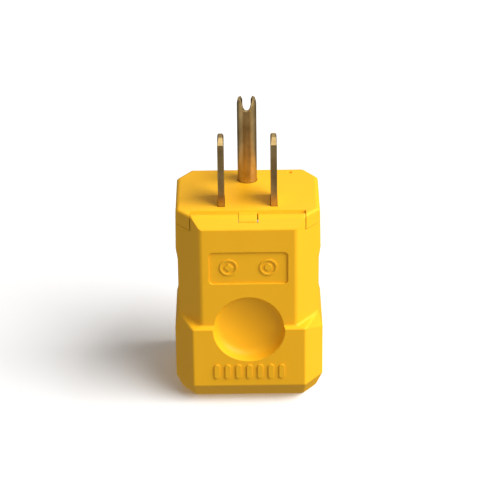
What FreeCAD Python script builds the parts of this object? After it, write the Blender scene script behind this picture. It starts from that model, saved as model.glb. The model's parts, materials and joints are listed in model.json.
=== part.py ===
import FreeCAD, Part
import math
import os

# Rewirable straight-blade grounding plug, 15 A, with a body that opens like a jaw.
# Frame: X right across the two flat blades, Y from the hinged cover to the fixed shell,
# Z up along the blades.  Origin: on the dead front, midway between the two flat blades.
# All sizes are in millimetres.

V = FreeCAD.Vector
X_AXIS = V(1, 0, 0)
Y_AXIS = V(0, 1, 0)
Z_AXIS = V(0, 0, 1)
BIG = 80.0

# ---- contacts, from the standard 15 A grounding pattern -------------------------------
BLADE_X = 6.35
BLADE_THICK = 1.52
BLADE_WIDTH = 6.35
BLADE_LENGTH = 17.4
BLADE_TIP = 1.2
BLADE_TIP_CORNER = 2.0
BLADE_THIN_LENGTH = 1.6
BLADE_TIP_HALF = 0.46
GROUND_Y = 11.9
GROUND_RADIUS = 2.375
GROUND_BORE = 1.45
GROUND_LENGTH = 21.7
GROUND_TAPER = 1.2
GROUND_TIP_RADIUS = 2.15
GROUND_NOTCH_DEPTH = 2.5
GROUND_NOTCH_TOP = 1.42
GROUND_NOTCH_FOOT = 0.8
GROUND_SEAM = 0.4
GROUND_SLOT = 2.0
GROUND_SLOT_Z = 16.4
GROUND_ROOT_RADIUS = 2.0

# ---- outside of the body ---------------------------------------------------------------
MID_Y = 3.9
BODY_HEIGHT = 49.9
WALL = 2.2
EDGE_ROUND = 0.7
REAR_TOP_ROUND = 2.0
SIDE_TOP_ROUND = 1.1
WAIST_CORNER_ROUND = 1.5
LEDGE_ROUND = 0.5
BLOCK_TOP_ROUND = 0.4

WAIST_DEPTH = 14.7
WAIST_FRONT = 11.6
WAIST_REAR = 14.2
CORNER_SLOPE = 1.155
REAR_CORNER_SLOPE = 1.35
TOP_WIDTH = 17.4
SHOULDER_WIDTH = 17.6
WAIST_WIDTH = 17.15
SHOULDER_Z = -10.8
WAIST_Z = -13.5

BLOCK_WIDTH = 18.15
BLOCK_DEPTH = 15.8
BLOCK_FRONT = 13.75
BLOCK_REAR = 14.95
BLOCK_FLAT = 8.9
BLOCK_REAR_FLAT = 10.6
RAMP_TOP_SIDE_Z = -28.2
RAMP_TOP_FRONT_Z = -28.75
RAMP_END_SIDE_Z = -32.3
RAMP_END_FRONT_Z = -29.05
BEVEL_SIDE_Z = -45.6
BEVEL_FRONT_Z = -44.9
BASE_WIDTH = 16.6
BASE_DEPTH = 11.5
BASE_FRONT = 13.3
BASE_FLAT = 7.27

CAVITY_RAMP_TOP_Z = -31.0
CAVITY_RAMP_END_Z = -33.5
CAVITY_BEVEL_Z = -44.4
CAVITY_FLOOR_Z = -47.5

SEAM_GAP = 0.12
SPLIT_FRONT_Y = MID_Y - SEAM_GAP / 2
SPLIT_REAR_Y = MID_Y + SEAM_GAP / 2
FRONT_Y = MID_Y - WAIST_DEPTH
BLOCK_FRONT_FACE_Y = MID_Y - BLOCK_DEPTH

# ---- face plate and hinge --------------------------------------------------------------
PLATE_THICK = 3.8
PLATE_FRONT_Y = -5.2
HINGE_Y = -7.5
HINGE_Z = -2.1
BARREL_RADIUS = 2.1
BARREL_END = 13.8
EAR_GAP = 0.14
PLATE_EDGE_SLOPE = 0.3
PLATE_EDGE_DROP = 0.8
BEVEL_ANGLE = math.radians(45)
BEVEL_ROUND = 0.5
WEB_HEIGHT = 1.5
KNUCKLE_HALF = 2.2
KNUCKLE_ARM_Z = -0.5
KNUCKLE_GAP_LEFT = 0.1
KNUCKLE_GAP_RIGHT = 0.3
KNUCKLE_CLEARANCE = 0.12
HINGE_PIN_RADIUS = 0.75
HINGE_PIN_HALF = 13.2
HINGE_PIN_BEVEL = 0.2
RUNNING = 0.05
CONTACT_GAP = 0.1
GATE_X = 10.5
GATE_Y = 15.4
GATE_RADIUS = 0.6
GATE_DEPTH = 0.3
HOOK_X = 9.0
HOOK_HALF = 1.3
HOOK_FRONT_Y = 15.1
HOOK_BACK_Y = 16.2
HOOK_BARB = 0.7
HOOK_BARB_Z = -7.6
HOOK_TIP_Z = -9.0
HOOK_ROOM = 0.2
HOOK_ROOT = 0.5

# ---- cover front: panel, thumb dish and grip bars --------------------------------------
PANEL_WIDTH = 19.1
PANEL_HEIGHT = 8.6
PANEL_Z = -12.8
PANEL_DEPTH = 0.4
PANEL_ROUND = 1.0
MARK_X = 4.8
MARK_Z = -12.7
MARK_RELIEF = 0.22
MARK_ROOT = 0.2
MARK_RING_RADIUS = 2.15
MARK_RING_WIDTH = 0.42
SQUARE_FLATS = 1.5
HEXAGON_FLATS = 1.7
DISH_Z = -29.2
DISH_RIM_RADIUS = 8.8
DISH_RIM_SLOPE = 0.3
DISH_RIM_ROOM = 3.0
DISH_FLOOR_Z = -30.0
DISH_BLEND = 2.5
DISH_BALL_RADIUS = 19.0
DISH_DEPTH = 2.9
BAR_COUNT = 7
BAR_PITCH = 2.65
BAR_WIDTH = 1.3
BAR_HEIGHT = 3.8
BAR_Z = -40.8
BAR_RELIEF = 0.3
BAR_ROOT = 0.3
BAR_ROUND = 0.6

# ---- wiring terminals ------------------------------------------------------------------
THREAD_RADIUS = 1.75
TERMINAL_X = 10.1
TERMINAL_Z = -13.2
TERMINAL_HEAD_RADIUS = 2.8
TERMINAL_HEAD_THICK = 2.2
TERMINAL_SHANK = 7.0
HEAD_BEVEL = 0.45
SLOT_WIDTH = 1.0
SLOT_DEPTH = 0.9
TAB_THICK = 1.52
TAB_FRONT_Y = BLADE_WIDTH / 2 - TAB_THICK
TAB_END_X = 12.9
TAB_BOTTOM_Z = -19.0
TAB_TOP_Z = -7.5
GROUND_TAB_HALF = 3.2
GROUND_TAB_Y = 7.4
GROUND_TAB_BOTTOM_Z = -20.0
GROUND_TERMINAL_Z = -14.5
GROUND_BEND_TOP_Z = -6.9
GROUND_BEND_Z = -8.5
CLAMP_THICK = 1.8
CLAMP_GAP = 3.0
CLAMP_HALF_WIDTH = 2.6
CLAMP_HALF_HEIGHT = 3.0
CLAMP_BEVEL = 0.3

# ---- terminal block --------------------------------------------------------------------
TERMINAL_BLOCK_TOP_Z = -3.85
TERMINAL_BLOCK_SLAB_Z = -5.9
TERMINAL_BLOCK_BOTTOM_Z = -21.0
TERMINAL_BLOCK_HALF = 14.2
TERMINAL_BLOCK_FRONT_Y = -4.2
TERMINAL_BLOCK_BACK_Y = 11.4
TERMINAL_BLOCK_REAR_Y = 16.0
TERMINAL_BLOCK_REAR_HALF = 5.9
FLANGE_HALF = 10.8
FLANGE_BACK_Y = 14.9
POCKET_INNER_X = 5.45
POCKET_OUTER_X = 13.1
POCKET_BACK_Y = 9.4
CHANNEL_HALF = 4.2
CHANNEL_BACK_Y = 14.4
BLOCK_SCREW_X = 8.4
BLOCK_SCREW_Y = 13.1
BLOCK_SCREW_RADIUS = 0.9
BLOCK_SCREW_HEAD = 1.6
BLOCK_SCREW_HEAD_THICK = 1.4
BLOCK_SCREW_TOP_Z = -1.2
BLOCK_SCREW_SLOT = 0.5

# ---- assembly screws and cord jaws -----------------------------------------------------
JOIN_X = 11.6
JOIN_Z = -38.5
SCREW_CLEARANCE = 0.2
HEAD_SEAT_Y = 16.4
HEAD_RADIUS = 2.9
HEAD_THICK = 2.0
HEAD_ROOM = 0.35
CROSS_LENGTH = 3.4
WASHER_THICK = 0.6
WASHER_RADIUS = 3.0
SEAT_GAP = 0.03
JOIN_TIP_Y = -8.7
JOIN_TIP_ROOM = 0.6
NUT_BACK_Y = -6.0
NUT_THICK = 2.4
NUT_FLATS = 6.35
NUT_BOSS_Y = -5.6
BOSS_RADIUS = 4.2
RETAINER_RADIUS = 2.9
RETAINER_THICK = 0.8
RETAINER_SEAT_Y = 5.0
INLET_RADIUS = 5.6
INLET_LIP = 0.6
JAW_HALF = 7.0
JAW_TOP_Z = -35.0
JAW_BOTTOM_Z = -43.0
JAW_GROOVE = 5.2
JAW_RIB = 4.4
JAW_RIB_COUNT = 3
JAW_RIB_WIDTH = 1.0
JAW_GAP = 0.7
JAW_WEB = 2.0


# ---- small helpers ---------------------------------------------------------------------

def box(low, high):
    size = V(*high) - V(*low)
    return Part.makeBox(size.x, size.y, size.z, V(*low))


def cylinder_x(radius, x0, x1, y, z):
    return Part.makeCylinder(radius, x1 - x0, V(x0, y, z), X_AXIS)


def cylinder_y(radius, y0, y1, x, z):
    return Part.makeCylinder(radius, y1 - y0, V(x, y0, z), Y_AXIS)


def cylinder_z(radius, z0, z1, x, y):
    return Part.makeCylinder(radius, z1 - z0, V(x, y, z0), Z_AXIS)


def union(shapes):
    return shapes[0].multiFuse(shapes[1:]).removeSplitter()


def polygon_face(points):
    return Part.Face(Part.makePolygon(list(points) + [points[0]]))


def prism_x(points_yz, x0, x1):
    """A prism along X with the outline given as (y, z) points."""
    return polygon_face([V(x0, y, z) for y, z in points_yz]).extrude(V(x1 - x0, 0, 0))


def prism_y(points_xz, y0, y1):
    """A prism along Y with the outline given as (x, z) points."""
    return polygon_face([V(x, y0, z) for x, z in points_xz]).extrude(V(0, y1 - y0, 0))


def regular_prism_y(sides, across_flats, y0, y1, x, z, turn):
    """A regular prism along Y, its first corner at the angle turn in degrees."""
    radius = across_flats / 2 / math.cos(math.pi / sides)
    angles = [math.radians(turn + 360.0 * i / sides) for i in range(sides)]
    return prism_y([(x + radius * math.cos(a), z + radius * math.sin(a)) for a in angles], y0, y1)


def mirrored(shape):
    """The same shape on the other side of the plane between the flat blades."""
    return shape.mirror(V(0, 0, 0), X_AXIS)


def turned_to_rear(shape):
    """The same shape on the other side of the body's middle plane."""
    return shape.mirror(V(0, MID_Y, 0), Y_AXIS)


# ---- the octagonal body ----------------------------------------------------------------

def corners(width, flat, depth, front, inset):
    """The two corners of one quarter as (x, y) offsets from the centre of the body.

    inset moves all three faces of that quarter inwards by the same distance.
    """
    slope = (depth - flat) / (width - front)
    corner_plane = slope * front + depth - inset * math.hypot(1, slope)
    end_x = (corner_plane - (depth - inset)) / slope
    side_y = corner_plane - slope * (width - inset)
    return (end_x, depth - inset), (width - inset, side_y)


def ring(front_half, rear_half, side_z, front_z, inset=0.0):
    """Eight corners of one level of the body, counter-clockwise seen from above.

    front_half and rear_half are each (width, flat, depth, front) of that half.
    """
    front_end, front_side = corners(*front_half, inset)
    rear_end, rear_side = corners(*rear_half, inset)
    right = [
        V(front_end[0], MID_Y - front_end[1], front_z),
        V(front_side[0], MID_Y - front_side[1], side_z),
        V(rear_side[0], MID_Y + rear_side[1], side_z),
        V(rear_end[0], MID_Y + rear_end[1], front_z),
    ]
    left = [V(-p.x, p.y, p.z) for p in reversed(right)]
    return right + left


def waist_ring(half_width, side_z, front_z, inset=0.0):
    """A level of the upper body, whose corner faces all lie in the same upright planes."""
    front_flat = WAIST_DEPTH - (half_width - WAIST_FRONT) * CORNER_SLOPE
    rear_flat = WAIST_DEPTH - (half_width - WAIST_REAR) * REAR_CORNER_SLOPE
    return ring((half_width, front_flat, WAIST_DEPTH, WAIST_FRONT),
                (half_width, rear_flat, WAIST_DEPTH, WAIST_REAR), side_z, front_z, inset)


def block_ring(side_z, front_z, inset=0.0):
    """A level of the wider lower block."""
    return ring((BLOCK_WIDTH, BLOCK_FLAT, BLOCK_DEPTH, BLOCK_FRONT),
                (BLOCK_WIDTH, BLOCK_REAR_FLAT, BLOCK_DEPTH, BLOCK_REAR), side_z, front_z, inset)


def base_ring(z, inset=0.0):
    """The level where the body ends at the cord end."""
    half = (BASE_WIDTH, BASE_FLAT, BASE_DEPTH, BASE_FRONT)
    return ring(half, half, z, z, inset)


def ring_solid(rings):
    """A closed solid through the rings, from the top one to the bottom one."""
    faces = [polygon_face(rings[0]), polygon_face(rings[-1])]
    for upper, lower in zip(rings, rings[1:]):
        for i in range(8):
            j = (i + 1) % 8
            quad = [upper[i], upper[j], lower[j], lower[i]]
            normal = (quad[1] - quad[0]).cross(quad[3] - quad[0])
            normal.normalize()
            if abs(normal.dot(quad[2] - quad[0])) < 1e-6:
                faces.append(polygon_face(quad))
            elif i % 4 == 0:
                faces.append(polygon_face([upper[i], upper[j], lower[i]]))
                faces.append(polygon_face([upper[j], lower[j], lower[i]]))
            else:
                faces.append(polygon_face([upper[i], upper[j], lower[j]]))
                faces.append(polygon_face([upper[i], lower[j], lower[i]]))
    solid = Part.makeSolid(Part.makeShell(faces))
    if solid.Volume < 0:
        solid.reverse()
    return solid.removeSplitter()


def edge_round(edge):
    """The rounding radius of one edge of the body, by where the edge lies."""
    ends = [vertex.Point for vertex in edge.Vertexes]
    low_y = min(p.y for p in ends)
    high_y = max(p.y for p in ends)
    low_z = min(p.z for p in ends)
    high_z = max(p.z for p in ends)
    if low_z > -0.1:
        if high_y > MID_Y + WAIST_DEPTH - 0.1:
            return REAR_TOP_ROUND
        return SIDE_TOP_ROUND if low_y > FRONT_Y + 0.1 else EDGE_ROUND
    at_front = high_y < FRONT_Y + 0.1
    if at_front and low_z > RAMP_END_FRONT_Z - 0.1 and high_z < RAMP_END_FRONT_Z + 0.1:
        return BLOCK_TOP_ROUND
    if at_front and low_z > RAMP_TOP_FRONT_Z - 0.1:
        return LEDGE_ROUND if high_z < RAMP_TOP_FRONT_Z + 0.1 else WAIST_CORNER_ROUND
    return EDGE_ROUND


def rounded(solid):
    """The solid with every edge rounded by its own radius."""
    document = FreeCAD.newDocument("rounding")
    base = document.addObject("Part::Feature", "base")
    base.Shape = solid
    fillet = document.addObject("Part::Fillet", "fillet")
    fillet.Base = base
    fillet.Edges = [(i + 1, edge_round(edge), edge_round(edge)) for i, edge in enumerate(solid.Edges)]
    document.recompute()
    result = fillet.Shape.copy()
    FreeCAD.closeDocument(document.Name)
    return result


def outer_body():
    """The whole outside of the plug body as one solid with rounded edges."""
    return rounded(ring_solid([
        waist_ring(TOP_WIDTH, 0, 0),
        waist_ring(SHOULDER_WIDTH, SHOULDER_Z, SHOULDER_Z),
        waist_ring(WAIST_WIDTH, WAIST_Z, WAIST_Z),
        waist_ring(WAIST_WIDTH, RAMP_TOP_SIDE_Z, RAMP_TOP_FRONT_Z),
        block_ring(RAMP_END_SIDE_Z, RAMP_END_FRONT_Z),
        block_ring(BEVEL_SIDE_Z, BEVEL_FRONT_Z),
        base_ring(-BODY_HEIGHT),
    ]))


def cavity():
    """The hollow inside the two shells, open at the top under the face plate."""
    return ring_solid([
        waist_ring(WAIST_WIDTH, 0, 0, WALL),
        waist_ring(WAIST_WIDTH, CAVITY_RAMP_TOP_Z, CAVITY_RAMP_TOP_Z, WALL),
        block_ring(CAVITY_RAMP_END_Z, CAVITY_RAMP_END_Z, WALL),
        block_ring(CAVITY_BEVEL_Z, CAVITY_BEVEL_Z, WALL),
        base_ring(CAVITY_FLOOR_Z, WALL),
    ])


def dish_ball(growth=0.0):
    """The ball whose cap is the floor of the thumb hollow; growth makes it larger all round."""
    center = V(0, FRONT_Y + DISH_DEPTH - DISH_BALL_RADIUS, DISH_FLOOR_Z)
    return Part.makeSphere(DISH_BALL_RADIUS + growth, center)


def dish_cut():
    """The round thumb hollow in the cover: a shallow ball blended into a sloping round rim."""
    rim_start = BLOCK_FRONT_FACE_Y - DISH_RIM_ROOM
    rim_end = FRONT_Y + DISH_DEPTH + 1
    rim = Part.makeCone(DISH_RIM_RADIUS + DISH_RIM_SLOPE * DISH_RIM_ROOM,
                        DISH_RIM_RADIUS - DISH_RIM_SLOPE * (rim_end - BLOCK_FRONT_FACE_Y),
                        rim_end - rim_start, V(0, rim_start, DISH_Z), Y_AXIS)
    hollow = rim.common(dish_ball())
    floor_edges = [edge for edge in hollow.Edges
                   if edge.BoundBox.YLength > 0.5 and edge.BoundBox.XLength > 1]
    return hollow.makeFillet(DISH_BLEND, floor_edges)


def inlet_cut():
    """The round cord opening in the floor, with a widened lip outside."""
    hole = cylinder_z(INLET_RADIUS, -BODY_HEIGHT - 1, CAVITY_FLOOR_Z + 1, 0, MID_Y)
    lip = Part.makeCone(INLET_RADIUS + 2 * INLET_LIP, INLET_RADIUS, 2 * INLET_LIP,
                        V(0, MID_Y, -BODY_HEIGHT - INLET_LIP), Z_AXIS)
    return hole.fuse(lip)


# ---- body pieces -----------------------------------------------------------------------

def plate_hook(x):
    """A tongue with a barb that snaps into the rear shell's wall."""
    root_z = -PLATE_THICK + HOOK_ROOT
    outline = [
        (HOOK_FRONT_Y, root_z),
        (HOOK_FRONT_Y, HOOK_TIP_Z),
        (HOOK_BACK_Y, HOOK_TIP_Z),
        (HOOK_BACK_Y + HOOK_BARB, HOOK_BARB_Z),
        (HOOK_BACK_Y, HOOK_BARB_Z),
        (HOOK_BACK_Y, root_z),
    ]
    return prism_x(outline, x - HOOK_HALF, x + HOOK_HALF)


def hook_window(x):
    """The pocket in the rear shell's wall that a hook's barb sits in."""
    half = HOOK_HALF + HOOK_ROOM
    return box((x - half, HOOK_BACK_Y, HOOK_TIP_Z - HOOK_ROOM),
               (x + half, HOOK_BACK_Y + HOOK_BARB + HOOK_ROOM, HOOK_BARB_Z + HOOK_ROOM))


def face_plate(body):
    """The dead front with the contact slots, the hinge ears, the knuckle and two hooks."""
    ear_x = BARREL_END + EAR_GAP
    plate = body.common(box((-BIG, -BIG, -PLATE_THICK), (BIG, BIG, BIG)))
    front_room = prism_x([
        (PLATE_FRONT_Y, BIG),
        (PLATE_FRONT_Y, 0),
        (PLATE_FRONT_Y - PLATE_EDGE_SLOPE, -PLATE_EDGE_DROP),
        (PLATE_FRONT_Y, -2 * PLATE_EDGE_DROP),
        (PLATE_FRONT_Y, -BIG),
        (-BIG, -BIG),
        (-BIG, BIG),
    ], -ear_x, ear_x)
    plate = plate.cut(front_room)
    knuckle = cylinder_x(BARREL_RADIUS, -KNUCKLE_HALF, KNUCKLE_HALF, HINGE_Y, HINGE_Z)
    arm = box((-KNUCKLE_HALF, HINGE_Y, HINGE_Z - BARREL_RADIUS),
              (KNUCKLE_HALF, PLATE_FRONT_Y + 1, KNUCKLE_ARM_Z))
    plate = union([plate, knuckle, arm] + [plate_hook(x) for x in (-HOOK_X, HOOK_X)])
    half_thick = BLADE_THICK / 2 + CONTACT_GAP
    half_wide = BLADE_WIDTH / 2 + CONTACT_GAP
    cuts = [
        cylinder_x(HINGE_PIN_RADIUS + RUNNING, -KNUCKLE_HALF - 1, KNUCKLE_HALF + 1, HINGE_Y, HINGE_Z),
        cylinder_z(GROUND_RADIUS + CONTACT_GAP, -BIG, BIG, 0, GROUND_Y),
        cylinder_z(GATE_RADIUS, -GATE_DEPTH, 1, GATE_X, GATE_Y),
    ]
    for side in (-1, 1):
        x = side * BLADE_X
        cuts.append(box((x - half_thick, -half_wide, -BIG), (x + half_thick, half_wide, BIG)))
        cuts.append(cylinder_z(BLOCK_SCREW_RADIUS, -BIG, BLOCK_SCREW_TOP_Z,
                               side * BLOCK_SCREW_X, BLOCK_SCREW_Y))
    return plate.cut(cuts)


def rear_shell(body, hollow):
    """The fixed half of the body, with two screw bosses and a finger hollow."""
    top_z = -PLATE_THICK - SEAM_GAP / 2
    half = body.common(box((-BIG, SPLIT_REAR_Y, -BIG), (BIG, BIG, top_z)))
    half = half.cut(hollow.cut(turned_to_rear(dish_ball(WALL))))
    half = half.cut([turned_to_rear(dish_cut()), inlet_cut()])
    parts = [half]
    cuts = []
    for side in (-1, 1):
        x = side * JOIN_X
        boss = cylinder_y(BOSS_RADIUS, SPLIT_REAR_Y, HEAD_SEAT_Y + WALL, x, JOIN_Z)
        parts.append(boss.common(body))
        cuts.append(cylinder_y(THREAD_RADIUS + SCREW_CLEARANCE, 0, BIG, x, JOIN_Z))
        cuts.append(cylinder_y(HEAD_RADIUS + HEAD_ROOM, HEAD_SEAT_Y, BIG, x, JOIN_Z))
        cuts.append(cylinder_y(RETAINER_RADIUS + CONTACT_GAP, 0, RETAINER_SEAT_Y, x, JOIN_Z))
        cuts.append(hook_window(side * HOOK_X))
    return union(parts).cut(cuts)


def hinge_strip(body):
    """The cover's hinge barrel and the slope that runs off it to the front face."""
    barrel = cylinder_x(BARREL_RADIUS, -BARREL_END, BARREL_END, HINGE_Y, HINGE_Z)
    touch_y = HINGE_Y - BARREL_RADIUS * math.sin(BEVEL_ANGLE)
    touch_z = HINGE_Z + BARREL_RADIUS * math.cos(BEVEL_ANGLE)
    edge_z = touch_z - (touch_y - FRONT_Y) * math.tan(BEVEL_ANGLE)
    root_z = -PLATE_THICK - WEB_HEIGHT
    web = prism_x([
        (FRONT_Y, root_z),
        (FRONT_Y, edge_z),
        (touch_y, touch_z),
        (HINGE_Y, HINGE_Z),
        (HINGE_Y, HINGE_Z - BARREL_RADIUS),
        (FRONT_Y + WALL, root_z),
    ], -BARREL_END, BARREL_END)
    top_edges = [edge for edge in web.Edges
                 if abs(edge.BoundBox.YMax - FRONT_Y) < 0.01 and abs(edge.BoundBox.ZMin - edge_z) < 0.01]
    web = web.makeFillet(BEVEL_ROUND, top_edges)
    return barrel.fuse(web).common(body)


def panel_cut():
    """The shallow sunk panel on the cover's front face."""
    panel = box((-PANEL_WIDTH / 2, FRONT_Y - 1, PANEL_Z - PANEL_HEIGHT / 2),
                (PANEL_WIDTH / 2, FRONT_Y + PANEL_DEPTH, PANEL_Z + PANEL_HEIGHT / 2))
    corners = [edge for edge in panel.Edges if edge.BoundBox.YLength > 1]
    return panel.makeFillet(PANEL_ROUND, corners)


def panel_marks():
    """Two plain raised rings in the panel, around a square on its corner and a hexagon."""
    floor_y = FRONT_Y + PANEL_DEPTH
    span = (floor_y - MARK_RELIEF, floor_y + MARK_ROOT)
    marks = [
        regular_prism_y(4, SQUARE_FLATS, *span, -MARK_X, MARK_Z, 0),
        regular_prism_y(6, HEXAGON_FLATS, *span, MARK_X, MARK_Z, 30),
    ]
    for x in (-MARK_X, MARK_X):
        disc = cylinder_y(MARK_RING_RADIUS, *span, x, MARK_Z)
        marks.append(disc.cut(cylinder_y(MARK_RING_RADIUS - MARK_RING_WIDTH, *span, x, MARK_Z)))
    return marks


def grip_bars():
    """A row of short raised bars across the lower front face."""
    bars = []
    front_y = BLOCK_FRONT_FACE_Y - BAR_RELIEF
    back_y = BLOCK_FRONT_FACE_Y + BAR_ROOT
    for i in range(BAR_COUNT):
        x = (i - (BAR_COUNT - 1) / 2) * BAR_PITCH
        bar = box((x - BAR_WIDTH / 2, front_y, BAR_Z - BAR_HEIGHT / 2),
                  (x + BAR_WIDTH / 2, back_y, BAR_Z + BAR_HEIGHT / 2))
        upright = [edge for edge in bar.Edges if abs(edge.BoundBox.YLength - (back_y - front_y)) < 0.01]
        bars.append(bar.makeFillet(BAR_ROUND, upright))
    return bars


def front_cover(body, hollow):
    """The hinged half of the body, with the nut bosses for the assembly screws."""
    top_z = -PLATE_THICK - SEAM_GAP
    half = body.common(box((-BIG, -BIG, -BIG), (BIG, SPLIT_FRONT_Y, top_z)))
    half = half.cut(hollow.cut(dish_ball(WALL)))
    half = half.cut([dish_cut(), inlet_cut(), panel_cut()])
    parts = [half, hinge_strip(body)]
    cuts = [
        cylinder_x(BARREL_RADIUS + KNUCKLE_CLEARANCE, -KNUCKLE_HALF - KNUCKLE_GAP_LEFT,
                   KNUCKLE_HALF + KNUCKLE_GAP_RIGHT, HINGE_Y, HINGE_Z),
        cylinder_x(HINGE_PIN_RADIUS + RUNNING, -HINGE_PIN_HALF - RUNNING,
                   HINGE_PIN_HALF + RUNNING, HINGE_Y, HINGE_Z),
    ]
    for side in (-1, 1):
        x = side * JOIN_X
        boss = cylinder_y(BOSS_RADIUS, FRONT_Y - WALL, NUT_BOSS_Y, x, JOIN_Z)
        parts.append(boss.common(body))
        cuts.append(regular_prism_y(6, NUT_FLATS + 2 * RUNNING, NUT_BACK_Y - NUT_THICK - RUNNING,
                                    NUT_BOSS_Y + 1, x, JOIN_Z, 90))
        cuts.append(cylinder_y(THREAD_RADIUS + SCREW_CLEARANCE, JOIN_TIP_Y - JOIN_TIP_ROOM,
                               NUT_BOSS_Y, x, JOIN_Z))
    return union(parts + panel_marks() + grip_bars()).cut(cuts)


def hinge_pin():
    """The steel pin through the knuckle and both barrels."""
    pin = cylinder_x(HINGE_PIN_RADIUS, -HINGE_PIN_HALF, HINGE_PIN_HALF, HINGE_Y, HINGE_Z)
    return pin.makeChamfer(HINGE_PIN_BEVEL, [edge for edge in pin.Edges if edge.Closed])


# ---- contacts --------------------------------------------------------------------------

def line_blade():
    """A flat blade with its wiring tab bent outwards inside the body."""
    half_thick = BLADE_THICK / 2
    half_wide = BLADE_WIDTH / 2
    side_view = [
        (-half_wide, TAB_BOTTOM_Z),
        (-half_wide, BLADE_LENGTH - BLADE_TIP),
        (-half_wide + BLADE_TIP_CORNER, BLADE_LENGTH),
        (half_wide - BLADE_TIP_CORNER, BLADE_LENGTH),
        (half_wide, BLADE_LENGTH - BLADE_TIP),
        (half_wide, TAB_BOTTOM_Z),
    ]
    blade = prism_x(side_view, BLADE_X - half_thick, BLADE_X + half_thick)
    front_view = [
        (BLADE_X - half_thick, TAB_BOTTOM_Z),
        (BLADE_X - half_thick, BLADE_LENGTH - BLADE_THIN_LENGTH),
        (BLADE_X - BLADE_TIP_HALF, BLADE_LENGTH),
        (BLADE_X + BLADE_TIP_HALF, BLADE_LENGTH),
        (BLADE_X + half_thick, BLADE_LENGTH - BLADE_THIN_LENGTH),
        (BLADE_X + half_thick, TAB_BOTTOM_Z),
    ]
    blade = blade.common(prism_y(front_view, -BIG, BIG))
    tab = box((BLADE_X - half_thick, TAB_FRONT_Y, TAB_BOTTOM_Z),
              (TAB_END_X, TAB_FRONT_Y + TAB_THICK, TAB_TOP_Z))
    hole = cylinder_y(THREAD_RADIUS + CONTACT_GAP, -BIG, BIG, TERMINAL_X, TERMINAL_Z)
    return union([blade, tab]).cut(hole)


def ground_pin():
    """The ground contact, a tube rolled from sheet with a notched tip and a wiring tab."""
    taper_z = GROUND_LENGTH - GROUND_TAPER
    shank = union([
        cylinder_z(GROUND_ROOT_RADIUS, GROUND_BEND_Z, 0, 0, GROUND_Y),
        cylinder_z(GROUND_RADIUS, 0, taper_z, 0, GROUND_Y),
        Part.makeCone(GROUND_RADIUS, GROUND_TIP_RADIUS, GROUND_TAPER, V(0, GROUND_Y, taper_z), Z_AXIS),
    ])
    foot_z = GROUND_LENGTH - GROUND_NOTCH_DEPTH + GROUND_NOTCH_FOOT
    notch = prism_y([
        (-GROUND_NOTCH_FOOT, foot_z),
        (-GROUND_NOTCH_TOP, GROUND_LENGTH),
        (-GROUND_NOTCH_TOP, GROUND_LENGTH + 1),
        (GROUND_NOTCH_TOP, GROUND_LENGTH + 1),
        (GROUND_NOTCH_TOP, GROUND_LENGTH),
        (GROUND_NOTCH_FOOT, foot_z),
    ], -BIG, BIG)
    shank = shank.cut([
        cylinder_z(GROUND_BORE, 0, GROUND_LENGTH + 1, 0, GROUND_Y),
        box((-GROUND_SEAM / 2, GROUND_Y, 0), (GROUND_SEAM / 2, BIG, GROUND_LENGTH + 1)),
        box((-GROUND_SLOT / 2, GROUND_Y, GROUND_SLOT_Z), (GROUND_SLOT / 2, BIG, GROUND_LENGTH + 1)),
        notch,
        cylinder_y(GROUND_NOTCH_FOOT, -BIG, BIG, 0, foot_z),
    ])
    tab = box((-GROUND_TAB_HALF, GROUND_TAB_Y, GROUND_TAB_BOTTOM_Z),
              (GROUND_TAB_HALF, GROUND_TAB_Y + TAB_THICK, GROUND_BEND_TOP_Z))
    bridge = box((-GROUND_ROOT_RADIUS, GROUND_TAB_Y, GROUND_BEND_Z),
                 (GROUND_ROOT_RADIUS, GROUND_Y, GROUND_BEND_TOP_Z))
    hole = cylinder_y(THREAD_RADIUS + CONTACT_GAP, -BIG, BIG, 0, GROUND_TERMINAL_Z)
    return union([shank, tab, bridge]).cut(hole)


def machine_screw(head_radius, head_thick, length, slots):
    """A screw along Y: its head ends at y = 0, its shank runs to y = length."""
    head = cylinder_y(head_radius, -head_thick, 0, 0, 0)
    rim = [edge for edge in head.Edges if edge.Closed and edge.BoundBox.YMax < -0.1]
    head = head.makeChamfer(HEAD_BEVEL, rim)
    shank = cylinder_y(THREAD_RADIUS, 0, length, 0, 0)
    tip = [edge for edge in shank.Edges if edge.Closed and edge.BoundBox.YMin > 0.1]
    shank = shank.makeChamfer(HEAD_BEVEL, tip)
    return union([head, shank]).cut(slots)


def straight_slot(half_length, head_thick):
    return box((-half_length, -head_thick - 1, -SLOT_WIDTH / 2),
               (half_length, -head_thick + SLOT_DEPTH, SLOT_WIDTH / 2))


def terminal_screw(x, seat_y, z):
    """A wiring screw with its slotted head towards the hinged cover."""
    slot = straight_slot(TERMINAL_HEAD_RADIUS + 1, TERMINAL_HEAD_THICK)
    screw = machine_screw(TERMINAL_HEAD_RADIUS, TERMINAL_HEAD_THICK, TERMINAL_SHANK, [slot])
    screw.translate(V(x, seat_y - RUNNING, z))
    return screw


def clamp_plate(x, tab_back_y, z):
    """The square plate behind a tab, drawn towards it by the wiring screw."""
    y = tab_back_y + CLAMP_GAP
    plate = box((x - CLAMP_HALF_WIDTH, y, z - CLAMP_HALF_HEIGHT),
                (x + CLAMP_HALF_WIDTH, y + CLAMP_THICK, z + CLAMP_HALF_HEIGHT))
    edges = [edge for edge in plate.Edges if edge.BoundBox.YLength < 0.01]
    plate = plate.makeChamfer(CLAMP_BEVEL, edges)
    return plate.cut(cylinder_y(THREAD_RADIUS + RUNNING, -BIG, BIG, x, z))


# ---- terminal block --------------------------------------------------------------------

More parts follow.
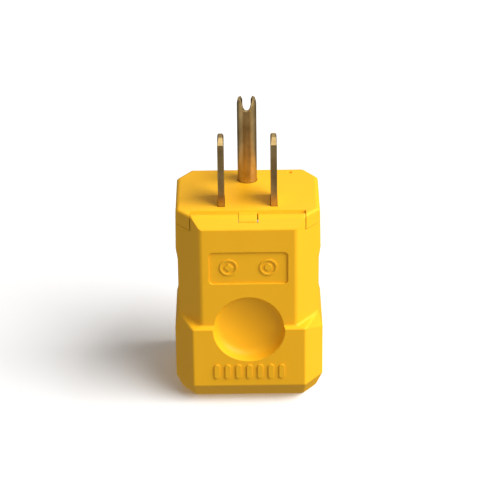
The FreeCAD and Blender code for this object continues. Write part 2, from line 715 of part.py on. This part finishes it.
def terminal_block():
    """The insulator that keeps the three terminals apart, open to the front and below."""
    top = TERMINAL_BLOCK_TOP_Z
    slab = TERMINAL_BLOCK_SLAB_Z
    half = TERMINAL_BLOCK_HALF
    block = union([
        box((-half, TERMINAL_BLOCK_FRONT_Y, TERMINAL_BLOCK_BOTTOM_Z),
            (half, TERMINAL_BLOCK_BACK_Y, top)),
        box((-TERMINAL_BLOCK_REAR_HALF, 0, TERMINAL_BLOCK_BOTTOM_Z),
            (TERMINAL_BLOCK_REAR_HALF, TERMINAL_BLOCK_REAR_Y, top)),
        box((-FLANGE_HALF, 0, slab), (FLANGE_HALF, FLANGE_BACK_Y, top)),
    ])
    cuts = [
        box((-CHANNEL_HALF, -BIG, -BIG), (CHANNEL_HALF, CHANNEL_BACK_Y, slab)),
        cylinder_z(GROUND_RADIUS + CONTACT_GAP, -BIG, BIG, 0, GROUND_Y),
        turned_to_rear(dish_ball(WALL + RUNNING)),
    ]
    half_thick = BLADE_THICK / 2 + CONTACT_GAP
    half_wide = BLADE_WIDTH / 2 + CONTACT_GAP
    for side in (-1, 1):
        inner, outer = sorted((side * POCKET_INNER_X, side * POCKET_OUTER_X))
        cuts.append(box((inner, -BIG, -BIG), (outer, POCKET_BACK_Y, slab)))
        x = side * BLADE_X
        cuts.append(box((x - half_thick, -half_wide, -BIG), (x + half_thick, half_wide, BIG)))
        cuts.append(cylinder_z(BLOCK_SCREW_RADIUS + CONTACT_GAP, -BIG, BIG,
                               side * BLOCK_SCREW_X, BLOCK_SCREW_Y))
    return block.cut(cuts)


def block_screws():
    """Two small screws that hold the terminal block up against the face plate."""
    screws = []
    for side in (-1, 1):
        x = side * BLOCK_SCREW_X
        shank = cylinder_z(BLOCK_SCREW_RADIUS, TERMINAL_BLOCK_SLAB_Z, BLOCK_SCREW_TOP_Z,
                           x, BLOCK_SCREW_Y)
        head_z = TERMINAL_BLOCK_SLAB_Z - BLOCK_SCREW_HEAD_THICK
        head = cylinder_z(BLOCK_SCREW_HEAD, head_z, TERMINAL_BLOCK_SLAB_Z, x, BLOCK_SCREW_Y)
        slot = box((x - BIG, BLOCK_SCREW_Y - BLOCK_SCREW_SLOT / 2, head_z - 1),
                   (x + BIG, BLOCK_SCREW_Y + BLOCK_SCREW_SLOT / 2, head_z + BLOCK_SCREW_SLOT))
        screws.append(union([head, shank]).cut(slot))
    return Part.makeCompound(screws)


# ---- assembly hardware and cord jaws ---------------------------------------------------

def assembly_screw(x):
    """A long screw from the rear shell into the nut in the cover, with a cross recess."""
    head_top_y = HEAD_SEAT_Y + WASHER_THICK + 2 * SEAT_GAP
    arms = [
        box((-CROSS_LENGTH / 2, -HEAD_THICK - 1, -SLOT_WIDTH / 2),
            (CROSS_LENGTH / 2, -HEAD_THICK + SLOT_DEPTH, SLOT_WIDTH / 2)),
        box((-SLOT_WIDTH / 2, -HEAD_THICK - 1, -CROSS_LENGTH / 2),
            (SLOT_WIDTH / 2, -HEAD_THICK + SLOT_DEPTH, CROSS_LENGTH / 2)),
    ]
    screw = machine_screw(HEAD_RADIUS, HEAD_THICK, head_top_y - JOIN_TIP_Y, arms)
    screw.rotate(V(0, 0, 0), Z_AXIS, 180)
    screw.translate(V(x, head_top_y, JOIN_Z))
    return screw


def flat_ring(inner, outer, y0, y1, x):
    return cylinder_y(outer, y0, y1, x, JOIN_Z).cut(cylinder_y(inner, y0 - 1, y1 + 1, x, JOIN_Z))


def screw_washer(x):
    """The steel washer under an assembly screw's head."""
    y0 = HEAD_SEAT_Y + SEAT_GAP
    return flat_ring(THREAD_RADIUS + CONTACT_GAP, WASHER_RADIUS, y0, y0 + WASHER_THICK, x)


def screw_retainers():
    """Two nylon rings at the parting face that keep the assembly screws in the shell."""
    y1 = RETAINER_SEAT_Y
    rings = [flat_ring(THREAD_RADIUS + RUNNING, RETAINER_RADIUS, y1 - RETAINER_THICK, y1, x)
             for x in (-JOIN_X, JOIN_X)]
    return Part.makeCompound(rings)


def cover_nuts():
    """Two hexagon nuts held in the cover's bosses."""
    nuts = []
    for x in (-JOIN_X, JOIN_X):
        nut = regular_prism_y(6, NUT_FLATS, NUT_BACK_Y - NUT_THICK, NUT_BACK_Y, x, JOIN_Z, 90)
        nuts.append(nut.cut(cylinder_y(THREAD_RADIUS + CONTACT_GAP, -BIG, BIG, x, JOIN_Z)))
    return Part.makeCompound(nuts)


def front_cord_jaw():
    """A saddle with ribs that grips the front of the cord, held in the cover."""
    wall_y = MID_Y - BLOCK_DEPTH + WALL
    saddle = box((-JAW_HALF, wall_y, JAW_BOTTOM_Z), (JAW_HALF, MID_Y - JAW_GAP, JAW_TOP_Z))
    saddle = saddle.cut(cylinder_z(JAW_GROOVE, -BIG, BIG, 0, MID_Y))
    rib_step = (JAW_TOP_Z - JAW_BOTTOM_Z - JAW_RIB_WIDTH) / (JAW_RIB_COUNT - 1)
    parts = [saddle]
    for i in range(JAW_RIB_COUNT):
        z = JAW_BOTTOM_Z + i * rib_step
        rib = cylinder_z(JAW_GROOVE + 0.5, z, z + JAW_RIB_WIDTH, 0, MID_Y)
        rib = rib.cut(cylinder_z(JAW_RIB, -BIG, BIG, 0, MID_Y))
        parts.append(rib.common(box((-BIG, -BIG, -BIG), (BIG, MID_Y - JAW_GAP, BIG))))
    window = box((-JAW_HALF + JAW_WEB, -BIG, JAW_BOTTOM_Z + JAW_WEB),
                 (JAW_HALF - JAW_WEB, MID_Y - JAW_GROOVE - JAW_WEB, JAW_TOP_Z - JAW_WEB))
    return union(parts).cut([window, dish_ball(WALL + RUNNING)])


def write_part(name, shape):
    shape.exportStep(os.path.join("parts", name + ".step"))


def main():
    os.makedirs("parts", exist_ok=True)
    body = outer_body()
    hollow = cavity()
    right_blade = line_blade()
    right_screw = terminal_screw(TERMINAL_X, TAB_FRONT_Y, TERMINAL_Z)
    right_clamp = clamp_plate(TERMINAL_X, TAB_FRONT_Y + TAB_THICK, TERMINAL_Z)
    front_jaw = front_cord_jaw()
    pieces = {
        "face_plate": face_plate(body),
        "rear_shell": rear_shell(body, hollow),
        "front_cover": front_cover(body, hollow),
        "hinge_pin": hinge_pin(),
        "line_blade": right_blade,
        "neutral_blade": mirrored(right_blade),
        "ground_pin": ground_pin(),
        "line_terminal_screw": right_screw,
        "neutral_terminal_screw": mirrored(right_screw),
        "ground_terminal_screw": terminal_screw(0, GROUND_TAB_Y, GROUND_TERMINAL_Z),
        "line_clamp_plate": right_clamp,
        "neutral_clamp_plate": mirrored(right_clamp),
        "ground_clamp_plate": clamp_plate(0, GROUND_TAB_Y + TAB_THICK, GROUND_TERMINAL_Z),
        "terminal_block": terminal_block(),
        "block_screws": block_screws(),
        "left_assembly_screw": assembly_screw(-JOIN_X),
        "right_assembly_screw": assembly_screw(JOIN_X),
        "left_screw_washer": screw_washer(-JOIN_X),
        "right_screw_washer": screw_washer(JOIN_X),
        "screw_retainers": screw_retainers(),
        "cover_nuts": cover_nuts(),
        "front_cord_jaw": front_jaw,
        "rear_cord_jaw": turned_to_rear(front_jaw),
    }
    for name, shape in pieces.items():
        write_part(name, shape)


main()
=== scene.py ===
import json
import math

import bmesh
import bpy
from mathutils import Matrix, Vector


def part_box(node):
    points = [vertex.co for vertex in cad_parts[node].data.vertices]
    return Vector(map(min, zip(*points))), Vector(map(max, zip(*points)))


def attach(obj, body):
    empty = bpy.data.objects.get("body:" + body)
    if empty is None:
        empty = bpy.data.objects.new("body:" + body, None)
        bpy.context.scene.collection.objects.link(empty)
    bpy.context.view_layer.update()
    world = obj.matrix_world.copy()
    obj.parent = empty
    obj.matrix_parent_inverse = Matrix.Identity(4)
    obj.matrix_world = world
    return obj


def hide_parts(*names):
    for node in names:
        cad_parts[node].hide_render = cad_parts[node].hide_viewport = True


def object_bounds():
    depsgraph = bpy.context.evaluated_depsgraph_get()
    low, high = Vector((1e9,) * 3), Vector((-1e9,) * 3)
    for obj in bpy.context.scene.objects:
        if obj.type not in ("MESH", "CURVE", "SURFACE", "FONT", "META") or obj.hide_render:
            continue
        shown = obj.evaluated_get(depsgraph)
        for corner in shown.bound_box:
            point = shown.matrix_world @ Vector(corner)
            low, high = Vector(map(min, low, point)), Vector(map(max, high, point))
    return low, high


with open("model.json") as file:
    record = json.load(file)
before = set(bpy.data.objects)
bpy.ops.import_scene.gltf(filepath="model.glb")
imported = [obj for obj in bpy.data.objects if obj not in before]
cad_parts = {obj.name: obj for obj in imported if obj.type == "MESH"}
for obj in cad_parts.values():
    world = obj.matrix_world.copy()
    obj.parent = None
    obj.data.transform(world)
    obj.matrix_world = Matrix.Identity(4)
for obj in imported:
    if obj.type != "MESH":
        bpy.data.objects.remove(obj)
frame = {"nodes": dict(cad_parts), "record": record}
nodes = frame["nodes"]
slots = {part["node"]: part["material_slot"] for part in frame["record"]["subparts"]}
cad_low, cad_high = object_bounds()

MM = 0.001
BEVEL_SAMPLES = 4


# ---- node helpers ----------------------------------------------------------------------

class Nodes:
    """A small wrapper that makes and links the nodes of one material."""

    def __init__(self, name):
        self.material = bpy.data.materials.new(name)
        self.material.use_nodes = True
        self.tree = self.material.node_tree
        self.tree.nodes.clear()
        self.output = self.add("ShaderNodeOutputMaterial")
        self.shader = self.add("ShaderNodeBsdfPrincipled")
        self.link(self.shader, "BSDF", self.output, "Surface")
        self.coords = self.add("ShaderNodeTexCoord")

    def add(self, kind, **settings):
        node = self.tree.nodes.new(kind)
        for key, value in settings.items():
            setattr(node, key, value)
        return node

    def link(self, source, out_name, target, in_name):
        self.tree.links.new(source.outputs[out_name], target.inputs[in_name])

    def set(self, node, **values):
        for key, value in values.items():
            node.inputs[key.replace("_", " ")].default_value = value
        return node

    def noise(self, scale, detail=3.0, roughness=0.5, stretch=(1.0, 1.0, 1.0)):
        """Noise over the object's own coordinates; scale is in cycles per metre."""
        mapping = self.add("ShaderNodeMapping")
        mapping.inputs["Scale"].default_value = stretch
        self.link(self.coords, "Object", mapping, "Vector")
        noise = self.add("ShaderNodeTexNoise")
        self.set(noise, Scale=scale, Detail=detail, Roughness=roughness)
        self.link(mapping, "Vector", noise, "Vector")
        return noise

    def ramp(self, source, out_name, stops):
        """A colour ramp through (position, colour) stops."""
        ramp = self.add("ShaderNodeValToRGB")
        elements = ramp.color_ramp.elements
        elements[0].position, elements[0].color = stops[0]
        elements[1].position, elements[1].color = stops[-1]
        for position, colour in stops[1:-1]:
            elements.new(position).color = colour
        self.link(source, out_name, ramp, "Fac")
        return ramp

    def rescale(self, source, out_name, low, high):
        """The source's 0 to 1 brought to the range low to high."""
        node = self.add("ShaderNodeMapRange")
        node.inputs["To Min"].default_value = low
        node.inputs["To Max"].default_value = high
        self.link(source, out_name, node, "Value")
        return node

    def mix(self, factor, factor_out, first, second):
        """Two colours mixed by a factor; each is a node's Color output or a constant."""
        node = self.add("ShaderNodeMix", data_type="RGBA")
        self.tree.links.new(factor.outputs[factor_out], node.inputs["Factor"])
        for socket, value in ((node.inputs[6], first), (node.inputs[7], second)):
            if isinstance(value, tuple):
                socket.default_value = value
            else:
                self.tree.links.new(value, socket)
        return node.outputs[2]

    def edge_mask(self, radius, low, high):
        """1 along convex edges within the radius, 0 on flat stretches."""
        bevel = self.add("ShaderNodeBevel", samples=BEVEL_SAMPLES)
        bevel.inputs["Radius"].default_value = radius
        geometry = self.add("ShaderNodeNewGeometry")
        dot = self.add("ShaderNodeVectorMath", operation="DOT_PRODUCT")
        self.tree.links.new(bevel.outputs["Normal"], dot.inputs[0])
        self.tree.links.new(geometry.outputs["Normal"], dot.inputs[1])
        mask = self.add("ShaderNodeMapRange")
        mask.inputs["From Min"].default_value = high
        mask.inputs["From Max"].default_value = low
        self.link(dot, "Value", mask, "Value")
        return mask

    def bump(self, heights, rounding):
        """Bump from (node, output, strength, distance) layers over rounded edges."""
        bevel = self.add("ShaderNodeBevel", samples=BEVEL_SAMPLES)
        bevel.inputs["Radius"].default_value = rounding
        normal = bevel.outputs["Normal"]
        for source, out_name, strength, distance in heights:
            bump = self.add("ShaderNodeBump")
            bump.inputs["Strength"].default_value = strength
            bump.inputs["Distance"].default_value = distance
            self.link(source, out_name, bump, "Height")
            self.tree.links.new(normal, bump.inputs["Normal"])
            normal = bump.outputs["Normal"]
        self.tree.links.new(normal, self.shader.inputs["Normal"])


def grey(value):
    return (value, value, value, 1.0)


# ---- materials -------------------------------------------------------------------------

NYLON_DEEP = (0.90, 0.448, 0.010, 1)
NYLON_BRIGHT = (0.95, 0.485, 0.014, 1)
NYLON_RUBBED = (0.97, 0.58, 0.04, 1)
NYLON_SCATTER = (1.0, 0.55, 0.1)
RUBBED_SHARE = 0.35
THERMOSET_DARK = (0.012, 0.012, 0.013, 1)
THERMOSET_PALE = (0.03, 0.03, 0.031, 1)
THERMOSET_DUST = (0.12, 0.11, 0.10, 1)
DUST_SHARE = 0.18
NATURAL_DEEP = (0.66, 0.63, 0.53, 1)
NATURAL_PALE = (0.76, 0.74, 0.66, 1)
BRASS_LIGHT = (0.59, 0.42, 0.18, 1)
BRASS_DARK = (0.31, 0.205, 0.080, 1)
BRIGHT_BRASS_LIGHT = (0.78, 0.55, 0.22, 1)
BRIGHT_BRASS_DARK = (0.55, 0.36, 0.12, 1)
NICKEL_LIGHT = (0.72, 0.71, 0.67, 1)
NICKEL_DARK = (0.5, 0.49, 0.46, 1)
GREEN_LIGHT = (0.05, 0.32, 0.11, 1)
GREEN_DARK = (0.02, 0.17, 0.06, 1)
ZINC_LIGHT = (0.62, 0.63, 0.64, 1)
ZINC_DARK = (0.4, 0.41, 0.42, 1)
EDGE_POLISH = 0.5
ALONG_Z = (1.0, 1.0, 0.04)
ALL_ROUND = (1.0, 1.0, 1.0)


def yellow_nylon():
    """Moulded yellow nylon: slight flow marks, fine spark-eroded grain, paler rubbed edges."""
    m = Nodes("yellow_nylon")
    flow = m.noise(45.0, detail=4.0, stretch=(1.0, 1.0, 0.35))
    grain = m.noise(2600.0, detail=2.0)
    wave = m.noise(220.0, detail=2.0)
    scuffs = m.noise(900.0, detail=5.0, roughness=0.7, stretch=(1.0, 1.0, 0.12))
    base = m.ramp(flow, "Fac", [(0.3, NYLON_DEEP), (0.7, NYLON_BRIGHT)])
    edges = m.edge_mask(0.5 * MM, 0.9, 0.995)
    worn = m.ramp(scuffs, "Fac", [(0.45, grey(0.0)), (0.75, grey(1.0))])
    wear = m.add("ShaderNodeMath", operation="MULTIPLY")
    m.tree.links.new(edges.outputs["Result"], wear.inputs[0])
    m.tree.links.new(worn.outputs["Color"], wear.inputs[1])
    faint = m.rescale(wear, "Value", 0.0, RUBBED_SHARE)
    colour = m.mix(faint, "Result", base.outputs["Color"], NYLON_RUBBED)
    m.tree.links.new(colour, m.shader.inputs["Base Color"])
    rough = m.rescale(scuffs, "Fac", 0.36, 0.54)
    m.link(rough, "Result", m.shader, "Roughness")
    m.set(m.shader, Subsurface_Weight=0.06, Subsurface_Scale=1.5 * MM, Specular_IOR_Level=0.2)
    m.shader.inputs["Subsurface Radius"].default_value = NYLON_SCATTER
    m.bump([(wave, "Fac", 0.25, 0.02 * MM), (grain, "Fac", 0.35, 0.006 * MM)], 0.18 * MM)
    return m.material


def black_insulator():
    """Matt moulded thermoset with a dusty, slightly speckled surface."""
    m = Nodes("black_insulator")
    speckle = m.noise(1500.0, detail=3.0)
    dust = m.noise(60.0, detail=4.0)
    base = m.ramp(speckle, "Fac", [(0.35, THERMOSET_DARK), (0.7, THERMOSET_PALE)])
    pale = m.rescale(dust, "Fac", 0.0, DUST_SHARE)
    colour = m.mix(pale, "Result", base.outputs["Color"], THERMOSET_DUST)
    m.tree.links.new(colour, m.shader.inputs["Base Color"])
    rough = m.rescale(dust, "Fac", 0.48, 0.68)
    m.link(rough, "Result", m.shader, "Roughness")
    m.bump([(speckle, "Fac", 0.4, 0.01 * MM)], 0.12 * MM)
    return m.material


def metal(name, light, dark, roughness, grain_stretch):
    """A metal with fine grain, slight tarnish and brighter edges."""
    m = Nodes(name)
    tarnish = m.noise(160.0, detail=5.0, roughness=0.6)
    grain = m.noise(1800.0, detail=3.0, stretch=grain_stretch)
    base = m.ramp(tarnish, "Fac", [(0.32, dark), (0.68, light)])
    edges = m.edge_mask(0.2 * MM, 0.85, 0.99)
    polish = m.rescale(edges, "Result", 0.0, EDGE_POLISH)
    colour = m.mix(polish, "Result", base.outputs["Color"], light)
    m.tree.links.new(colour, m.shader.inputs["Base Color"])
    m.set(m.shader, Metallic=1.0)
    rough = m.rescale(grain, "Fac", roughness - 0.07, roughness + 0.09)
    m.link(rough, "Result", m.shader, "Roughness")
    m.bump([(grain, "Fac", 0.22, 0.006 * MM)], 0.12 * MM)
    return m.material


def white_nylon():
    """Natural, slightly yellowed nylon."""
    m = Nodes("white_nylon")
    cloud = m.noise(400.0, detail=3.0)
    base = m.ramp(cloud, "Fac", [(0.3, NATURAL_DEEP), (0.7, NATURAL_PALE)])
    m.link(base, "Color", m.shader, "Base Color")
    rough = m.rescale(cloud, "Fac", 0.4, 0.55)
    m.link(rough, "Result", m.shader, "Roughness")
    m.bump([(cloud, "Fac", 0.2, 0.01 * MM)], 0.1 * MM)
    return m.material


def studio_floor_paint():
    """A plain pale floor with a barely visible unevenness."""
    m = Nodes("studio_floor")
    cloud = m.noise(3.0, detail=2.0)
    base = m.ramp(cloud, "Fac", [(0.3, grey(0.86)), (0.7, grey(0.88))])
    m.link(base, "Color", m.shader, "Base Color")
    m.set(m.shader, Roughness=0.9)
    return m.material


def dress_nodes():
    """Gives every CAD node its finished material by the slot that the record names."""
    finishes = {
        "shell_yellow": yellow_nylon(),
        "insulator_black": black_insulator(),
        "brass": metal("drawn_brass", BRASS_LIGHT, BRASS_DARK, 0.38, ALONG_Z),
        "brass_screw": metal("bright_brass", BRIGHT_BRASS_LIGHT, BRIGHT_BRASS_DARK, 0.26, ALL_ROUND),
        "silver_screw": metal("nickel_plate", NICKEL_LIGHT, NICKEL_DARK, 0.24, ALL_ROUND),
        "green_screw": metal("green_dye", GREEN_LIGHT, GREEN_DARK, 0.32, ALL_ROUND),
        "steel": metal("zinc_steel", ZINC_LIGHT, ZINC_DARK, 0.3, ALL_ROUND),
        "nylon_white": white_nylon(),
    }
    for name, slot in slots.items():
        mesh = nodes[name].data
        mesh.materials.clear()
        mesh.materials.append(finishes[slot])


# ---- screw threads ---------------------------------------------------------------------

PITCH = 0.79375 * MM
THREAD_CREST = 1.74 * MM
THREAD_ROOT = 1.42 * MM
THREAD_RINGS = 8
THREAD_SEGMENTS = 28
THREAD_FADE = 1.2 * MM
ASSEMBLY_HEAD = 2.0 * MM
TERMINAL_HEAD = 2.2 * MM
HEAD_STUB = 0.1 * MM


def add_thread(mesh, x, z, start_y, tip_y):
    """Adds a right-hand thread along Y from under the head to the tip, where it fades out."""
    length = abs(tip_y - start_y)
    direction = 1 if tip_y > start_y else -1
    count = round(length / PITCH * THREAD_RINGS)
    rings = []
    for i in range(count + 1):
        along = length * i / count
        y = start_y + direction * along
        depth = (THREAD_CREST - THREAD_ROOT) * min(1.0, (length - along) / THREAD_FADE)
        ring = []
        for j in range(THREAD_SEGMENTS):
            angle = 2 * math.pi * j / THREAD_SEGMENTS
            phase = (y / PITCH - j / THREAD_SEGMENTS) % 1.0
            radius = THREAD_ROOT + depth * (1 - abs(2 * phase - 1))
            ring.append(mesh.verts.new((x + radius * math.sin(angle), y, z + radius * math.cos(angle))))
        rings.append(ring)
    sides = []
    for first, second in zip(rings, rings[1:]):
        for j in range(THREAD_SEGMENTS):
            k = (j + 1) % THREAD_SEGMENTS
            sides.append(mesh.faces.new((first[j], first[k], second[k], second[j])))
    for face in sides:
        face.smooth = True
    ends = [mesh.faces.new(rings[0]), mesh.faces.new(rings[-1])]
    bmesh.ops.recalc_face_normals(mesh, faces=sides + ends)


def threaded_screw(name, head_thick, shank_side):
    """The CAD screw's own head on a threaded shank, in the place of the plain CAD screw.

    shank_side is +1 or -1, the way the shank points along Y.
    """
    node = nodes[name]
    low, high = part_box(name)
    head_end, tip_y = (low.y, high.y) if shank_side > 0 else (high.y, low.y)
    start_y = head_end + shank_side * head_thick
    shape = bmesh.new()
    shape.from_mesh(node.data)
    shape.transform(node.matrix_world)
    everything = shape.verts[:] + shape.edges[:] + shape.faces[:]
    bmesh.ops.bisect_plane(shape, geom=everything, plane_co=(0, start_y + shank_side * HEAD_STUB, 0),
                           plane_no=(0, shank_side, 0), clear_outer=True)
    add_thread(shape, (low.x + high.x) / 2, (low.z + high.z) / 2, start_y - shank_side * HEAD_STUB, tip_y)
    data = bpy.data.meshes.new(name + "_threaded")
    shape.to_mesh(data)
    shape.free()
    data.materials.append(node.data.materials[0])
    piece = bpy.data.objects.new(name + "_threaded", data)
    bpy.context.scene.collection.objects.link(piece)
    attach(piece, name)
    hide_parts(name)


def make_threads():
    for side in ("left", "right"):
        threaded_screw(side + "_assembly_screw", ASSEMBLY_HEAD, -1)
    for terminal in ("line", "neutral", "ground"):
        threaded_screw(terminal + "_terminal_screw", TERMINAL_HEAD, 1)


# ---- stage, lights and camera ----------------------------------------------------------

CAMERA_DISTANCE = 0.55
CAMERA_ELEVATION = math.radians(26.5)
CAMERA_AIM_DOWN = math.radians(1.244)
CAMERA_AIM_RIGHT = math.radians(0.053)
CAMERA_ROLL = math.radians(-0.62)
CAMERA_LENS = 163.8
CAMERA_CLIP = (0.01, 20.0)
SENSOR = 36.0
KEY_DIRECTION = Vector((0.67, -0.28, 0.69))
KEY_DISTANCE = 2.0
KEY_SIZE = 1.8
KEY_POWER = 75.0
WORLD_COLOUR = (1.0, 0.985, 0.96, 1)
WORLD_STRENGTH = 0.34
WORLD_LOW = 0.55
GLOSS_FRONT = 0.27
GLOSS_SIDE = 0.62
GLOSS_REAR = 0.22
GLOSS_ABOVE = 1.1
LOW_BAND = (-0.9, -0.1)
SIDE_BAND = (0.35, 0.85)
REAR_BAND = (-0.1, 0.45)
ABOVE_BAND = (0.15, 0.75)
FLOOR_HALF = 3.0


def make_floor():
    """The floor under the plug; it shows only to the camera, and light and mirrored rays pass it."""
    half = FLOOR_HALF
    z = cad_low.z
    mesh = bpy.data.meshes.new("studio_floor")
    corners = [(-half, -half, z), (half, -half, z), (half, half, z), (-half, half, z)]
    mesh.from_pydata(corners, [], [(0, 1, 2, 3)])
    mesh.materials.append(studio_floor_paint())
    floor = bpy.data.objects.new("studio_floor", mesh)
    bpy.context.scene.collection.objects.link(floor)
    floor.visible_diffuse = False
    floor.visible_glossy = False
    floor.visible_shadow = False


def make_key_light():
    """A square soft box above and to the right, facing the plug."""
    data = bpy.data.lights.new("key_softbox", "AREA")
    data.size = KEY_SIZE
    data.energy = KEY_POWER
    light = bpy.data.objects.new("key_softbox", data)
    aim = (cad_low + cad_high) / 2
    light.location = aim + KEY_DIRECTION.normalized() * KEY_DISTANCE
    light.rotation_euler = KEY_DIRECTION.to_track_quat("Z", "Y").to_euler()
    bpy.context.scene.collection.objects.link(light)


def make_world():
    """A pale room, brighter from below; what shiny surfaces mirror is darker low down and behind."""
    world = bpy.data.worlds.new("studio_world")
    world.use_nodes = True
    tree = world.node_tree
    tree.nodes.clear()

    def add(kind, **settings):
        node = tree.nodes.new(kind)
        for key, value in settings.items():
            setattr(node, key, value)
        return node

    def smooth(source, band, start, end):
        node = add("ShaderNodeMapRange", interpolation_type="SMOOTHSTEP")
        for name, value in zip(("From Min", "From Max", "To Min", "To Max"), (*band, start, end)):
            node.inputs[name].default_value = value
        tree.links.new(source, node.inputs["Value"])
        return node.outputs["Result"]

    def maths(operation, *sources):
        node = add("ShaderNodeMath", operation=operation)
        for source, socket in zip(sources, node.inputs):
            tree.links.new(source, socket)
        return node.outputs["Value"]

    direction = add("ShaderNodeSeparateXYZ")
    tree.links.new(add("ShaderNodeTexCoord").outputs["Generated"], direction.inputs[0])
    sideways = maths("ABSOLUTE", direction.outputs["X"])
    sides = smooth(sideways, SIDE_BAND, GLOSS_FRONT, GLOSS_SIDE)
    rear = smooth(direction.outputs["Y"], REAR_BAND, 1.0, GLOSS_REAR)
    around = maths("MULTIPLY", sides, rear)
    above = smooth(direction.outputs["Z"], ABOVE_BAND, 0.0, GLOSS_ABOVE)
    mirrored = maths("ADD", around, above)
    paths = add("ShaderNodeLightPath")
    strength = add("ShaderNodeMix", data_type="FLOAT")
    room = smooth(direction.outputs["Z"], LOW_BAND, WORLD_LOW, WORLD_STRENGTH)
    tree.links.new(room, strength.inputs[2])
    tree.links.new(paths.outputs["Is Glossy Ray"], strength.inputs["Factor"])
    tree.links.new(mirrored, strength.inputs[3])
    background = add("ShaderNodeBackground")
    background.inputs["Color"].default_value = WORLD_COLOUR
    tree.links.new(strength.outputs[0], background.inputs["Strength"])
    tree.links.new(background.outputs[0], add("ShaderNodeOutputWorld").inputs["Surface"])
    bpy.context.scene.world = world


def make_camera():
    data = bpy.data.cameras.new("product_camera")
    data.lens = CAMERA_LENS
    data.sensor_width = SENSOR
    data.clip_start, data.clip_end = CAMERA_CLIP
    camera = bpy.data.objects.new("product_camera", data)
    camera.location = CAMERA_DISTANCE * Vector(
        (0.0, -math.cos(CAMERA_ELEVATION), math.sin(CAMERA_ELEVATION)))
    pitch = Matrix.Rotation(math.pi / 2 - CAMERA_ELEVATION - CAMERA_AIM_DOWN, 4, "X")
    turn = Matrix.Rotation(-CAMERA_AIM_RIGHT, 4, "Z")
    roll = Matrix.Rotation(CAMERA_ROLL, 4, "Z")
    camera.rotation_mode = "QUATERNION"
    camera.rotation_quaternion = (turn @ pitch @ roll).to_quaternion()
    bpy.context.scene.collection.objects.link(camera)
    bpy.context.scene.camera = camera
    bpy.context.scene.view_settings.view_transform = "Standard"


make_camera()
make_world()
make_key_light()
make_floor()
dress_nodes()
make_threads()
